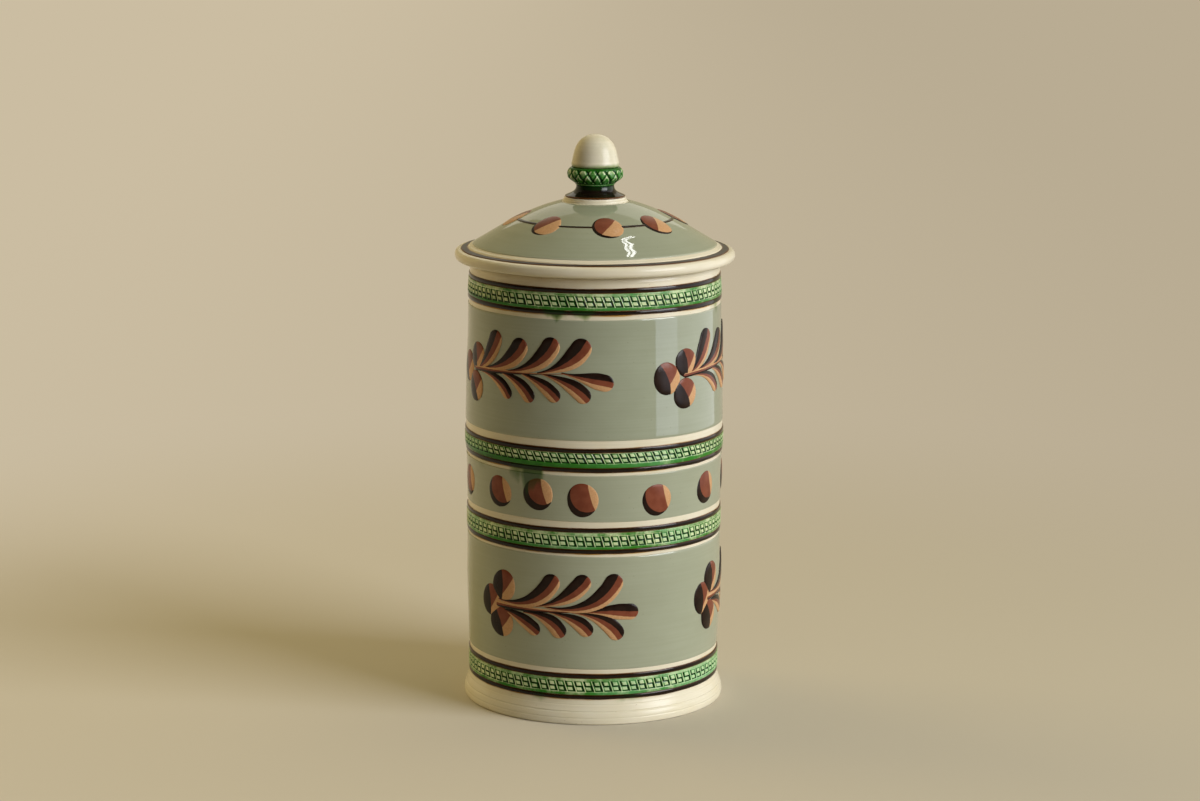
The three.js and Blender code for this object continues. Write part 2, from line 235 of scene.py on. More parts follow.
def eased(points):
    """A smooth line through pairs of a place and a value."""
    places, values = np.array(points, float).T
    slopes = np.gradient(values, places)

    def at(place):
        place = np.clip(place, places[0], places[-1])
        i = np.clip(np.searchsorted(places, place) - 1, 0, len(places) - 2)
        step = places[i + 1] - places[i]
        t = (place - places[i]) / step
        start = values[i] * (2 * t + 1) * (1 - t) ** 2 + slopes[i] * step * t * (1 - t) ** 2
        end = values[i + 1] * (3 - 2 * t) * t ** 2 - slopes[i + 1] * step * (1 - t) * t ** 2
        return start + end

    return at


def waver(size, waves=9):
    """The slow wandering of a hand-held tool round the jar, by angle."""
    counts = np.arange(1, waves + 1)
    strengths = chance.normal(size=waves) / counts ** 0.7
    strengths *= size / np.sqrt((strengths ** 2).sum() / 2)
    starts = chance.uniform(0, 2 * math.pi, waves)
    return lambda angle: (strengths * np.sin(np.multiply.outer(angle, counts) + starts)).sum(-1)


def round_the_wheel(columns):
    """Angles once round the jar, from its front towards its right."""
    return np.arange(columns) * 2 * math.pi / columns


def turned(name, radius, height, angle, ring=False, paint=None):
    """A smooth piece turned on the wheel: rows run out, up the outside and back in."""
    radius, height, angle = np.broadcast_arrays(radius, height, angle)
    rows, columns = radius.shape
    points = np.stack([radius * np.sin(angle), -radius * np.cos(angle), height], -1).reshape(-1, 3)
    here = np.arange(rows * columns).reshape(rows, columns)
    beside = np.roll(here, -1, 1)
    if ring:
        over, beside_over = np.roll(here, -1, 0), np.roll(beside, -1, 0)
        faces = np.stack([here, beside, beside_over, over], -1).reshape(-1, 4).tolist()
    else:
        faces = np.stack([here[:-1], beside[:-1], beside[1:], here[1:]], -1).reshape(-1, 4).tolist()
        start, end = rows * columns, rows * columns + 1
        faces += [(start, b, a) for a, b in zip(here[0].tolist(), beside[0].tolist())]
        faces += [(a, b, end) for a, b in zip(here[-1].tolist(), beside[-1].tolist())]
        points = np.vstack([points, (0, 0, height[0, 0]), (0, 0, height[-1, 0])])
    return fired_mesh(name, points, faces, paint or {})


def fired_mesh(name, points, faces, paint):
    """A smooth mesh of points in millimetres, with the values painted on its points."""
    mesh = bpy.data.meshes.new(name)
    mesh.from_pydata((np.asarray(points) / 1000).tolist(), [], faces)
    mesh.shade_smooth()
    for label, values in paint.items():
        levels = np.zeros(len(points), np.float32)
        values = np.ravel(values)
        levels[:len(values)] = values
        mesh.attributes.new(label, "FLOAT", "POINT").data.foreach_set("value", levels)
    return mesh


def set_down(mesh, material, body, node):
    """Puts a finished piece in the place of its node."""
    piece = bpy.data.objects.new("fired_" + node, mesh)
    bpy.context.scene.collection.objects.link(piece)
    mesh.materials.append(material)
    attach(piece, body)
    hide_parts(node)


def fired(name, paint):
    """A glazed finish from a function that gives the shader's varying values."""
    material = bpy.data.materials.new(name)
    material.use_nodes = True
    material.node_tree.nodes.clear()
    shade = Shade(material.node_tree)
    face = shade.node("ShaderNodeBsdfPrincipled", {}, paint(shade))
    shade.node("ShaderNodeOutputMaterial", {}, {"Surface": face})
    return material


# Places where copper green has run down from a rouletted band: middle angle, half width in degrees,
# height where it starts, length of the run, strength
green_flows = [
    (-28, 6, 117.5, 15, 2.5), (-36, 6, 117, 9, 1.0), (-62, 20, 117, 6, 0.55), (9, 5, 116.5, 3, 0.4),
    (-18, 7, 188.2, 5.5, 1.9), (-5, 8, 188.2, 5, 1.6), (70, 9, 188, 7, 0.9), (-55, 12, 188, 4, 0.5),
    (-25, 5, 13, 4.5, 0.8), (17, 9, 13, 4, 0.75), (34, 5, 80, 4, 0.4), (-70, 9, 80, 5, 0.45),
    (150, 12, 118, 12, 1.0), (205, 9, 188, 8, 0.9), (120, 8, 81, 7, 0.7), (235, 10, 13, 4.5, 0.8),
]


def green_run(angle, height):
    """How strongly a run of green glaze lies at a place on the jar, 0 to 1."""
    angle, height = np.broadcast_arrays(angle, height)
    strength = np.zeros(angle.shape)
    for middle, half, top, length, amount in green_flows:
        off = (np.degrees(angle) - middle + 180) % 360 - 180
        lobes = 1 + 0.2 * np.sin(off * 4.1 / half + middle) + 0.12 * np.sin(off * 9.3 / half)
        sunk = np.clip((top - height) / (length * lobes), -0.2, None)
        fade = np.clip(1 - (off / half) ** 2, 0, 1) * np.clip(1 - sunk, 0, 1) ** 0.8
        strength = np.maximum(strength, amount * np.where(height < top + 0.5, fade, 0))
    return strength


foot_top = 11.3
clay_radius = eased([
    (foot_top, 57.1), (24, 57.1), (36, 57.4), (48, 57.8), (59, 58.0), (72, 57.8), (82, 57.8), (93, 57.85),
    (108, 57.95), (115, 58.2), (120, 58.5), (127, 58.6), (138, 58.4), (154, 58.05), (171, 57.4),
    (188, 57.1), (194, 56.8), (201.7, 56.65),
])
foot_radius = eased([
    (0, 58.7), (0.25, 59.2), (0.8, 59.5), (1.5, 59.57), (3, 59.5), (4.3, 59.3), (5.2, 59.05),
    (6.4, 58.6), (8.1, 57.95), (9.4, 57.5), (10.4, 57.2), (foot_top, 57.1), (12, 57.1),
])
wall_thickness = 5
rim_top = 201.7
rim_rounding = 2.2
rim_start = rim_top - rim_rounding
floor_top = 6
foot_recess = 2.5
inside_corner = 10
corner_top = floor_top + inside_corner
band_bed = 0.25
# Grooves left by the turning tool in the foot and under the rim: height, depth
turned_grooves = ((3.1, 0.13), (5.9, 0.3), (8.9, 0.1), (198.6, 0.05))
groove_width = 0.22
dark_lines = [f"dark_line_{i}" for i in range(1, 9)]
rim_sweep = np.linspace(0, math.pi, 17)
rim_middle = clay_radius(rim_top) - wall_thickness / 2
rim_outline = np.stack([
    rim_middle + wall_thickness / 2 * np.sign(np.cos(rim_sweep)) * np.abs(np.cos(rim_sweep)) ** 0.7,
    rim_start + rim_rounding * np.sin(rim_sweep) ** 0.8,
], 1)
foot_rows = np.concatenate([np.linspace(0.02, 1.5, 7), np.arange(1.7, foot_top, 0.18)])
fine_step, coarse_step = 0.2, 2.5
wall_rows = [foot_rows]
for low_line, high_line in zip(dark_lines[1::2], dark_lines[2::2]):
    wall_rows.append(np.arange(span(low_line)[0], span(low_line)[1] + 5, fine_step))
    wall_rows.append(np.arange(span(high_line)[0] - 4, span(high_line)[1], fine_step))
wall_rows.append(np.arange(12, rim_start, coarse_step))
wall_rows.append(np.arange(span("dark_line_8")[0], rim_start, fine_step))
wall_rows = np.unique(np.round(np.concatenate(wall_rows), 2))
wall_rows = wall_rows[np.insert(np.diff(wall_rows) > 0.09, 0, True)]
wall_outside = np.where(wall_rows < foot_top, foot_radius(wall_rows), clay_radius(wall_rows))
for groove_height, groove_depth in turned_grooves:
    wall_outside = wall_outside - groove_depth * np.exp(-((wall_rows - groove_height) / groove_width) ** 2)
for i in range(1, 5):
    band_bottom, band_top = span(f"roulette_band_{i}")
    wall_outside = wall_outside - band_bed * ((wall_rows > band_bottom + 0.2) & (wall_rows < band_top - 0.2))
inside_rows = np.arange(rim_start - 1, corner_top, -1.4)
inside_wall = clay_radius(np.maximum(inside_rows, corner_top)) - wall_thickness
inside_wall = inside_wall + 0.14 * np.sin(inside_rows / 1.15) * np.clip((190 - inside_rows) / 30, 0, 1)
corner_sweep = np.linspace(0, math.pi / 2, 12)
corner_centre = clay_radius(corner_top) - wall_thickness - inside_corner
floor_rings = np.linspace(corner_centre - 1.5, 1.5, 26)
recess_radii = np.linspace(2, 48.5, 14)
underside = np.vstack([
    np.stack([recess_radii, np.full_like(recess_radii, foot_recess)], 1),
    [(50.2, 2.3), (51.3, 1.5), (52, 0.5), (52.5, 0.06), (53, 0.0), (55.5, 0.0), (58, 0.0)],
])
jar_outline = np.vstack([
    underside,
    np.stack([wall_outside, wall_rows], 1),
    rim_outline,
    np.stack([inside_wall, inside_rows], 1),
    np.stack([
        corner_centre + inside_corner * np.cos(corner_sweep),
        corner_top - inside_corner * np.sin(corner_sweep),
    ], 1),
    np.stack([floor_rings, floor_top + 0.1 * np.sin(floor_rings / 1.1) + 0.1], 1),
])
jar_angle = round_the_wheel(jar_columns)[None, :]
jar_radius, jar_height = jar_outline[:, :1], jar_outline[:, 1:]
jar_row = np.arange(len(jar_outline))
outer_row = (jar_row < len(underside) + len(wall_rows))[:, None]
jar_wobble = waver(0.03, 5)(jar_angle) * np.clip(jar_height / 60, 0, 1)

# Iron from the dark lines tints the clear glaze amber along their edges, most below them
amber = np.zeros((len(jar_outline), jar_columns))
for line in dark_lines:
    bottom, top = span(line)
    strength = np.clip(0.75 + waver(0.3)(jar_angle), 0.15, 1.2)
    reach = 0.42 + waver(0.1)(jar_angle)
    below, beyond = np.clip(bottom - jar_height, -9, 9), np.clip(jar_height - top, -9, 9)
    amber = np.maximum(amber, strength * np.where(below > -0.5, np.exp(-(below / reach) ** 2), 0))
    amber = np.maximum(amber, 0.55 * strength * np.where(beyond > -0.5, np.exp(-(beyond / 0.3) ** 2), 0))
bare = np.where(jar_row < len(underside), np.exp(-(jar_height[:, 0] / 0.35) ** 2), 0)[:, None]


def cream_glaze(shade):
    throwing = shade.grain(24, 1500, 2.0).rise(0.3, 0.7)
    cloudy = shade.grain(70, 150).rise(0.35, 0.7)
    cream = throwing.over(colour(218, 211, 189), colour(223, 216, 195))
    cream = (cloudy * 0.35).over(cream, colour(214, 203, 170))
    pooled = (shade.painted("amber") * (0.6 + cloudy * 0.7)).rise(0.05, 1.0)
    cream = pooled.over(cream, colour(176, 132, 58))
    flow = shade.painted("green") + shade.grain(420, 420) * 0.3 - 0.15
    cream = (flow.rise(0.1, 0.75) * 0.75).over(cream, colour(112, 138, 62))
    cream = (flow.rise(0.55, 1.1) * 0.85).over(cream, colour(44, 78, 22))
    speck = 1 - shade.dots(330).rise(0.03, 0.075)
    cream = (speck * 0.55).over(cream, colour(140, 112, 70))
    biscuit = shade.painted("bare")
    cream = biscuit.over(cream, colour(214, 190, 150))
    ripple = shade.grain(120, 1100, 2.0)
    return {
        "Base Color": cream,
        "Roughness": 0.21 + cloudy * 0.05 + biscuit * 0.5,
        "Specular IOR Level": 0.24,
        "Normal": ripple.bump(0.000018),
    }


cream = fired("cream_glaze", cream_glaze)
jar = turned("thrown_jar", jar_radius + jar_wobble, jar_height, jar_angle, paint={
    "amber": amber * outer_row,
    "green": green_run(jar_angle, jar_height) * outer_row,
    "bare": np.broadcast_to(bare, amber.shape),
})
set_down(jar, cream, "canister", "canister_body")

# Slip fields: three bands of grey-green slip, poured on the turning jar and smoothed with a rib,
# with thin rounded edges that waver a little. They lie under the same clear gloss. The slip is painted paler
# at its thin edges, where the cream clay shows through, and the lower and middle fields are painted paler all
# over as painted light.
field_thickness = 0.34
edge_lift = 0.03
thin_margin = 0.9
# How much paler the lower and middle fields are painted all over: painted light
field_painted_light = {"slip_field_lower": 0.46, "slip_field_middle": 0.42, "slip_field_upper": 0}


def sage_slip(shade):
    ribbed = shade.grain(14, 1300, 2.0).rise(0.3, 0.7)
    cloudy = shade.grain(38, 60, 4.0).rise(0.3, 0.72)
    sage = cloudy.over(colour(147, 153, 132), colour(153, 159, 138))
    sage = (ribbed * 0.25).over(sage, colour(139, 146, 121))
    # Paler at the thin edges, and paler all over the lower and middle fields as painted light
    thin_and_lit = shade.painted("thin_and_lit").rise(0.1, 1.0)
    sage = (thin_and_lit * 0.55).over(sage, colour(178, 178, 154))
    flow = shade.painted("green") + shade.grain(300, 300) * 0.36 - 0.18
    sage = (flow.rise(0.08, 0.7) * 0.85).over(sage, colour(70, 98, 44))
    sage = (flow.rise(0.6, 1.1) * 0.7).over(sage, colour(28, 58, 18))
    speck = 1 - shade.dots(260).rise(0.02, 0.07)
    sage = (speck * 0.5).over(sage, colour(96, 94, 72))
    ripple = shade.grain(45, 30, 2.0) + shade.grain(180, 180, 2.0) * 0.08
    return {
        "Base Color": sage,
        "Roughness": 0.03 + cloudy * 0.012,
        "Normal": ripple.bump(0.000025),
    }


sage = fired("sage_slip", sage_slip)


def ribbing(height):
    """The shallow turning rings of the wheel, in millimetres."""
    rings = 0.012 * np.sin(height / 0.9) + 0.014 * np.sin(height / 2.3 + 1)
    return rings + 0.02 * np.sin(height / 6.1 + 2)


def field_surface(height):
    """Radius of a slip field's face at a height."""
    return clay_radius(height) + field_thickness + ribbing(height)


def quarter_round(edge):
    """Rises steeply at the edge of a layer, where edge is 0, and is level where edge is 1."""
    return (1 - (1 - edge) ** 2) ** 0.5


for node, painted_lightening in field_painted_light.items():
    bottom, top = span(node)
    share = np.concatenate([
        [0, 0.002, 0.006, 0.014], np.linspace(0.025, 0.975, 90), [0.986, 0.994, 0.998, 1],
    ])
    to_edge = np.minimum(share, 1 - share)
    lift = quarter_round(np.clip(to_edge / 0.014, 0, 1))
    low_edge, high_edge = waver(0.1)(jar_angle), waver(0.1)(jar_angle)
    rows = bottom + share[:, None] * (top - bottom)
    rows = rows + low_edge * (1 - share[:, None]) ** 6 + high_edge * share[:, None] ** 6
    face = clay_radius(rows) + edge_lift + lift[:, None] * (field_thickness - edge_lift + ribbing(rows))
    back_height = np.array([[top - 0.4], [bottom + 0.4]]) + 0 * jar_angle
    back = clay_radius(back_height) - 0.02
    # Thin at the edges, and never below the field's painted light amount, which paints the lower fields paler
    thin_and_lit = np.clip(1 - to_edge * (top - bottom) / thin_margin, painted_lightening, 1)
    field = turned(
        node, np.vstack([face, back]), np.vstack([rows, back_height]), jar_angle, ring=True,
        paint={"thin_and_lit": np.broadcast_to(thin_and_lit[:, None], face.shape), "green": green_run(jar_angle, rows)},
    )
    set_down(field, sage, "canister", node)

# Dark lines: eight rounded lines of brown-black slip, trailed from a quill while the jar turned,
# two along each rouletted band. They stand half a millimetre proud and waver by hand.
line_height = 0.5
line_sweep = np.linspace(0, math.pi, 13)[:, None]


def dark_slip(shade):
    cloudy = shade.grain(160, 500).rise(0.3, 0.7)
    dark = cloudy.over(colour(18, 11, 7), colour(31, 21, 14))
    worn = shade.painted("edge").rise(0.0, 1.0)
    dark = ((1 - worn) * 0.85).over(dark, colour(112, 66, 24))
    flow = shade.painted("green").rise(0.3, 1.0)
    dark = (flow * 0.8).over(dark, colour(14, 42, 12))
    ripple = shade.grain(260, 700, 2.0)
    return {
        "Base Color": dark,
        "Roughness": 0.08 + cloudy * 0.05 + shade.painted("dull") * 0.25,
        "Specular IOR Level": 0.22,
        "Normal": ripple.bump(0.00003),
    }


dark = fired("dark_slip", dark_slip)
for node in dark_lines:
    bottom, top = span(node)
    low_edge = bottom + waver(0.07, 26)(jar_angle)
    high_edge = top + waver(0.07, 26)(jar_angle)
    rows = (low_edge + high_edge) / 2 - (high_edge - low_edge) / 2 * np.cos(line_sweep)
    crest = (line_height - edge_lift) * (1 + waver(0.06)(jar_angle))
    face = clay_radius(rows) + edge_lift + crest * np.sin(line_sweep) ** 0.8
    back_height = np.array([[(bottom + top) / 2]]) + 0 * jar_angle
    back = clay_radius(back_height) - 0.05
    line = turned(
        node, np.vstack([face, back]), np.vstack([rows, back_height]), jar_angle, ring=True,
        paint={"edge": np.sin(line_sweep) * np.ones_like(jar_angle), "green": green_run(jar_angle, rows)},
    )
    set_down(line, dark, "canister", node)

# Rouletted bands: four collars with a slanted key pattern rolled into the soft clay by an engraved
# wheel, then washed with copper-green glaze that pools dark in the grooves and thins on the ridges.
key_across = np.array([0.0, 0.03, 0.1, 0.2, 0.28, 0.33, 0.66, 0.71, 0.79, 0.9, 0.97])
key_up = np.array([
    0.0, 0.025, 0.1, 0.155, 0.18, 0.385, 0.41, 0.465, 0.55, 0.6, 0.625, 0.85, 0.875, 0.925, 0.975, 1.0,
])
# Runs of the key's groove: first and last row, first and last column, depth
groove_runs = [
    (1, 2, 2, 9, 0.75), (1, 6, 2, 3, 0.22), (1, 8, 8, 9, 1), (7, 8, 2, 9, 1),
    (8, 14, 2, 3, 1), (8, 14, 8, 9, 0.5), (13, 14, 2, 9, 0.35),
]
key_relief = np.ones((len(key_up), len(key_across)))
for low_row, high_row, left, right, depth in groove_runs:
    run = key_relief[low_row:high_row + 1, left:right + 1]
    run[:] = np.minimum(run, 1 - depth)
# The lower block of each cell sits to the left and the upper one to the right
block_shift = np.where(key_up[:, None] < 0.5, -0.06, 0.03) * np.array([0, 0, 0, 1, 1, 1, 1, 1, 1, 0, 0])
block_shift = block_shift * (np.abs(key_up[:, None] - 0.5) < 0.45)
key_tone = key_relief * np.where((key_across < 0.06) | (key_across > 0.94), 1.06, 1)
roulette_depth = 0.5
roulette_face = 0.58
roulette_rounding = 0.22
# Of each band: room under the key, key's height, slant in degrees, cells round the jar, pooling of the glaze
roulette_settings = {
    "roulette_band_1": (1.4, 4.9, 18, 87, 0.1),
    "roulette_band_2": (1.4, 4.9, 16, 92, 0.15),
    "roulette_band_3": (1.95, 4.65, 27, 94, 1.2),
    "roulette_band_4": (1.4, 5.0, 21, 89, 0.5),
}
# One cell in each turn of the wheel is wider, where its engraving meets itself
wheel_cells = 23
wheel_joint = 11
joint_width = 1.25


def green_glaze(shade):
    relief = shade.painted("relief")
    thick = shade.painted("thick")
    patchy = shade.grain(150, 150).rise(0.25, 0.75)
    fine = shade.grain(900, 900)
    level = relief + (fine - 0.5) * 0.2 + (patchy - 0.5) * 0.2 - thick * 0.42
    green = level.rise(0.12, 0.7).over(colour(3, 46, 4), colour(46, 120, 30))
    green = level.rise(0.74, 1.04).over(green, colour(206, 219, 172))
    minty = shade.grain(26, 26).rise(0.45, 0.7)
    green = (minty * level.rise(0.2, 0.8) * 0.4).over(green, colour(134, 198, 146))
    edge = shade.painted("edge").rise(0.0, 1.0)
    green = ((1 - edge) * 0.7).over(green, colour(128, 106, 44))
    ripple = shade.grain(800, 800, 2.0)
    return {
        "Base Color": green,
        "Roughness": 0.09 + patchy * 0.06,
        "Specular IOR Level": 0.2,
        "Normal": ripple.bump(0.00004),
    }


green = fired("green_glaze", green_glaze)
for node, (room_below, key_height, slant, cells_round, pooling) in roulette_settings.items():
    bottom, top = span(node)
    key_bottom = bottom + room_below
    key_top = key_bottom + key_height
    under = np.array([0.0, 0.06, roulette_rounding, 0.5 * room_below, 0.85 * room_below])
    beyond = np.array([0.15, 0.5, 0.8, 0.95, 1]) * (top - key_top)
    rows = np.concatenate([bottom + under, key_bottom + key_up * key_height, key_top + beyond])[:, None]
    cell_widths = np.where(np.arange(cells_round) % wheel_cells == wheel_joint, joint_width, 1.0)
    cell_starts = np.cumsum(cell_widths) - cell_widths
    turn_step = 2 * math.pi / cell_widths.sum()
    columns = (cell_starts[:, None] + cell_widths[:, None] * key_across).ravel()[None, :] * turn_step
    in_key = (rows >= key_bottom - 1e-6) & (rows <= key_top + 1e-6)
    relief = np.ones((len(rows), columns.shape[1]))
    relief[in_key[:, 0]] = np.tile(key_relief, cells_round)
    pressed = np.clip(0.92 + waver(0.12, 14)(columns), 0.5, 1.0)
    edge = np.clip(np.minimum(rows - bottom, top - rows) / roulette_rounding, 0, 1)
    face = clay_radius(rows) + edge_lift + quarter_round(edge) * (roulette_face - edge_lift)
    face = face - (1 - relief) * roulette_depth * pressed
    lean = -math.tan(math.radians(slant)) * (rows - (key_bottom + key_top) / 2) / clay_radius(rows)
    lean = lean + 0 * columns
    lean[in_key[:, 0]] += np.tile(block_shift, cells_round) * turn_step
    drift = waver(0.12, 6)(columns) * np.where(in_key, 1.0, 0.0)
    tone = np.where(rows < key_bottom, 0.84, 0.88) + 0 * relief
    tone[in_key[:, 0]] = np.tile(key_tone, cells_round)
    pool = np.clip((key_bottom + 0.35 * key_height - rows) / (0.5 * key_height), 0, 1)
    pool = pooling * pool * np.clip(0.9 + waver(0.5, 5)(columns), 0.2, 1.5)
    back_height = np.array([[top - 0.3], [bottom + 0.3]]) + 0 * columns
    band = turned(
        node,
        np.vstack([face, clay_radius(back_height) - 0.05]),
        np.vstack([rows + drift, back_height]),
        np.vstack([columns + lean, columns, columns]),
        ring=True,
        paint={"relief": tone, "thick": pool, "edge": np.broadcast_to(edge, face.shape)},
    )
    set_down(band, green, "canister", node)

# Drops: cat's-eyes round the middle field, dabbed from a cup with three chambers, so that dark, rust and
# tan slips lie side by side in each. They stand up from the field as low domes with a steep edge.
eye_angles = [-75, -46.4, -25.3, -4.9, 28.8, 59.5, 90, 117, 145, 172, 200, 228, 255]
eye_heights = [103, 102.9, 104.2, 102.7, 101.6, 102.8, 103.2, 102.6, 103.4, 102.5, 103, 103.3, 102.7]
eye_width, eye_height = 14.4, 14.8
drop_rise = 0.55
drop_sink = -0.1
drop_rings = np.array([0.12, 0.3, 0.48, 0.64, 0.77, 0.87, 0.94, 0.98, 1.0])
drop_turns = 40


def three_slips(shade):
    stir = (shade.grain(520, 520, 2.0) - 0.5) * 0.34
    fine = shade.grain(1500, 1500, 2.0)
    cloudy = shade.grain(230, 230).rise(0.3, 0.7)
    rust = cloudy.over(colour(112, 58, 40), colour(126, 69, 49))
    tan_slip = fine.rise(0.35, 0.7).over(colour(192, 147, 104), colour(202, 159, 116))
    dark_brown = cloudy.over(colour(26, 15, 11), colour(38, 24, 18))
    body = (shade.painted("tan_side") + stir).rise(-0.12, 0.16).over(rust, tan_slip)
    body = (shade.painted("dark_side") + stir).rise(-0.12, 0.16).over(body, dark_brown)
    flow = shade.painted("green") + shade.grain(300, 300) * 0.36 - 0.18
    body = (flow.rise(0.45, 1.0) * 0.6).over(body, colour(40, 62, 22))
    pin = 1 - shade.dots(420).rise(0.02, 0.08)
    body = (pin * 0.6).over(body, colour(40, 26, 20))
    ripple = shade.grain(420, 420, 2.0)
    return {
        "Base Color": body,
        "Roughness": 0.19 + cloudy * 0.05,
        "Specular IOR Level": 0.14,
        "Normal": ripple.bump(0.00003),
    }


drops = fired("three_slips", three_slips)


def drop_points(width, height):
    """Points of a domed drop: across, up and lift, ring by ring from its crown, then its underside."""
    turn = np.arange(drop_turns) * 2 * math.pi / drop_turns
    uneven = 1 + 0.02 * np.sin(2 * turn + chance.uniform(0, 6))
    uneven = uneven + 0.015 * np.sin(3 * turn + chance.uniform(0, 6))
    across = [np.zeros(1)]
    up = [np.zeros(1)]
    lift = [np.full(1, drop_rise)]
    for share in drop_rings:
        across.append(share * width / 2 * np.cos(turn) * uneven)
        up.append(share * height / 2 * np.sin(turn) * uneven)
        lift.append(np.full(drop_turns, drop_rise * (1 - share ** 2.6) ** 0.6))
    across.append(0.9 * width / 2 * np.cos(turn))
    up.append(0.9 * height / 2 * np.sin(turn))
    lift.append(np.full(drop_turns, drop_sink))
    across.append(np.zeros(1))
    up.append(np.zeros(1))
    lift.append(np.full(1, drop_sink))
    rings = len(drop_rings) + 1
    start = 1 + np.arange(rings)[:, None] * drop_turns + np.arange(drop_turns)
    beside = np.roll(start, -1, 1)
    faces = [(0, a, b) for a, b in zip(start[0].tolist(), beside[0].tolist())]
    faces += np.stack([start[:-1], start[1:], beside[1:], beside[:-1]], -1).reshape(-1, 4).tolist()
    last = 1 + rings * drop_turns
    faces += [(last, b, a) for a, b in zip(start[-1].tolist(), beside[-1].tolist())]
    return np.concatenate(across), np.concatenate(up), np.concatenate(lift), faces


def on_wall(middle, height, across, up, lift):
    """Lays flat points on the jar's slip field, round a middle angle and height."""
    reach = field_surface(height + up) + lift
    angle = math.radians(middle) + across / field_surface(height)
    points = np.stack([reach * np.sin(angle), -reach * np.cos(angle), height + up], -1)
    return points, green_run(angle, height + up)


for i, (angle, height) in enumerate(zip(eye_angles, eye_heights)):
    width = eye_width * chance.uniform(0.97, 1.02)
    across, up, lift, faces = drop_points(width, eye_height * chance.uniform(0.97, 1.02))
    x, y = across / (eye_width / 2), up / (eye_height / 2)
    swing = chance.normal(0, 0.07)
    dark_side = (np.hypot(x - 0.3, y - 0.34) - 0.98 + swing) * eye_width / 2
    tan_side = (x - 0.46 + swing + 0.32 * y - 0.1 * y * y) * eye_width / 2
    points, green_level = on_wall(angle, height, across, up, lift)
    eye = fired_mesh(f"cats_eye_{i + 1}", points, faces, {
        "dark_side": dark_side, "tan_side": tan_side, "green": green_level,
    })
    set_down(eye, drops, "canister", f"cats_eye_{i + 1}")

# Twigs: poured from the same cup in one go each. Three round drops sit at the fork; every leaf is a stroke
# that ends round and draws out into a tail, and the tails lie on each other along the stem.
leaf_rise = 0.5
leaf_across = np.array([0, 0.008, 0.035, 0.09, 0.19, 0.34, 0.5, 0.66, 0.81, 0.91, 0.965, 0.992, 1])
# Strokes in millimetres from the fork: tail, bend, middle of the round end, and that end's radius.
# The bare stem comes first.
upper_leaves = [
    ((52, 2.4), (25, 1.2), (0, -0.1), 1.3),
    ((51.2, 2.9), (63.2, 0.7), (70.6, -1.2), 3.8),
    ((40.6, 2.3), (54.6, -0.2), (60.9, -6.8), 3.6),
    ((28.9, 2), (41.8, -0.8), (47.7, -7.2), 3.2),
    ((16.9, 0.9), (30, -0.2), (35.5, -8.2), 3.2),
    ((2.5, -0.9), (18, 0), (23.8, -8.2), 2.8),
    ((39.9, 2.1), (54.6, 5.2), (59.9, 13.9), 4.7),
    ((22.3, 1.4), (40.2, 3), (45.9, 14.2), 4.4),
    ((7.4, 1.2), (24.6, 2.7), (30.2, 12.6), 4.5),
    ((0.4, 0.1), (10.1, 1.7), (15.4, 14.6), 4.4),
]
lower_leaves = [
    ((46, 0.8), (20, 0.2), (-2, 0), 1.4),
    ((42.1, 0.6), (50.1, 1.4), (62.7, 0.7), 3.7),
    ((36.4, 0.5), (50.7, -0.7), (56.2, -8.5), 3.8),
    ((24.5, 0.1), (38, -1.6), (42.6, -7.1), 3.5),
    ((12.9, -1.5), (25.3, -1.1), (30.2, -8.1), 3.7),
    ((-1, -2), (9.5, -1.9), (18.2, -8.4), 3.3),
    ((23.5, 2.3), (46.8, -1.2), (55, 14), 4.3),
    ((19.5, 2), (34, 4.5), (41, 14), 4),
    ((-2.5, 2.5), (19.1, -0.3), (26.7, 13.3), 4.2),
]
# Drops at the fork: across, up, width, height, which way their dark side faces in degrees
upper_berries = [(-10.4, -0.8, 14.2, 14.6, 203), (0.8, 5.3, 13, 13, 190), (-0.1, -8.4, 13.6, 13.8, 212)]
lower_berries = [(-7, 0.9, 13.6, 14.7, 186), (1.5, 9.1, 14.2, 14.3, 180), (-0.2, -8, 14.8, 13.7, 200)]
twig_rows = {
    "upper": ([-64.7, 43.7, 170], 156.5, upper_leaves, upper_berries),
    "lower": ([-45.3, 64.5, 188], 51.0, lower_leaves, lower_berries),
}


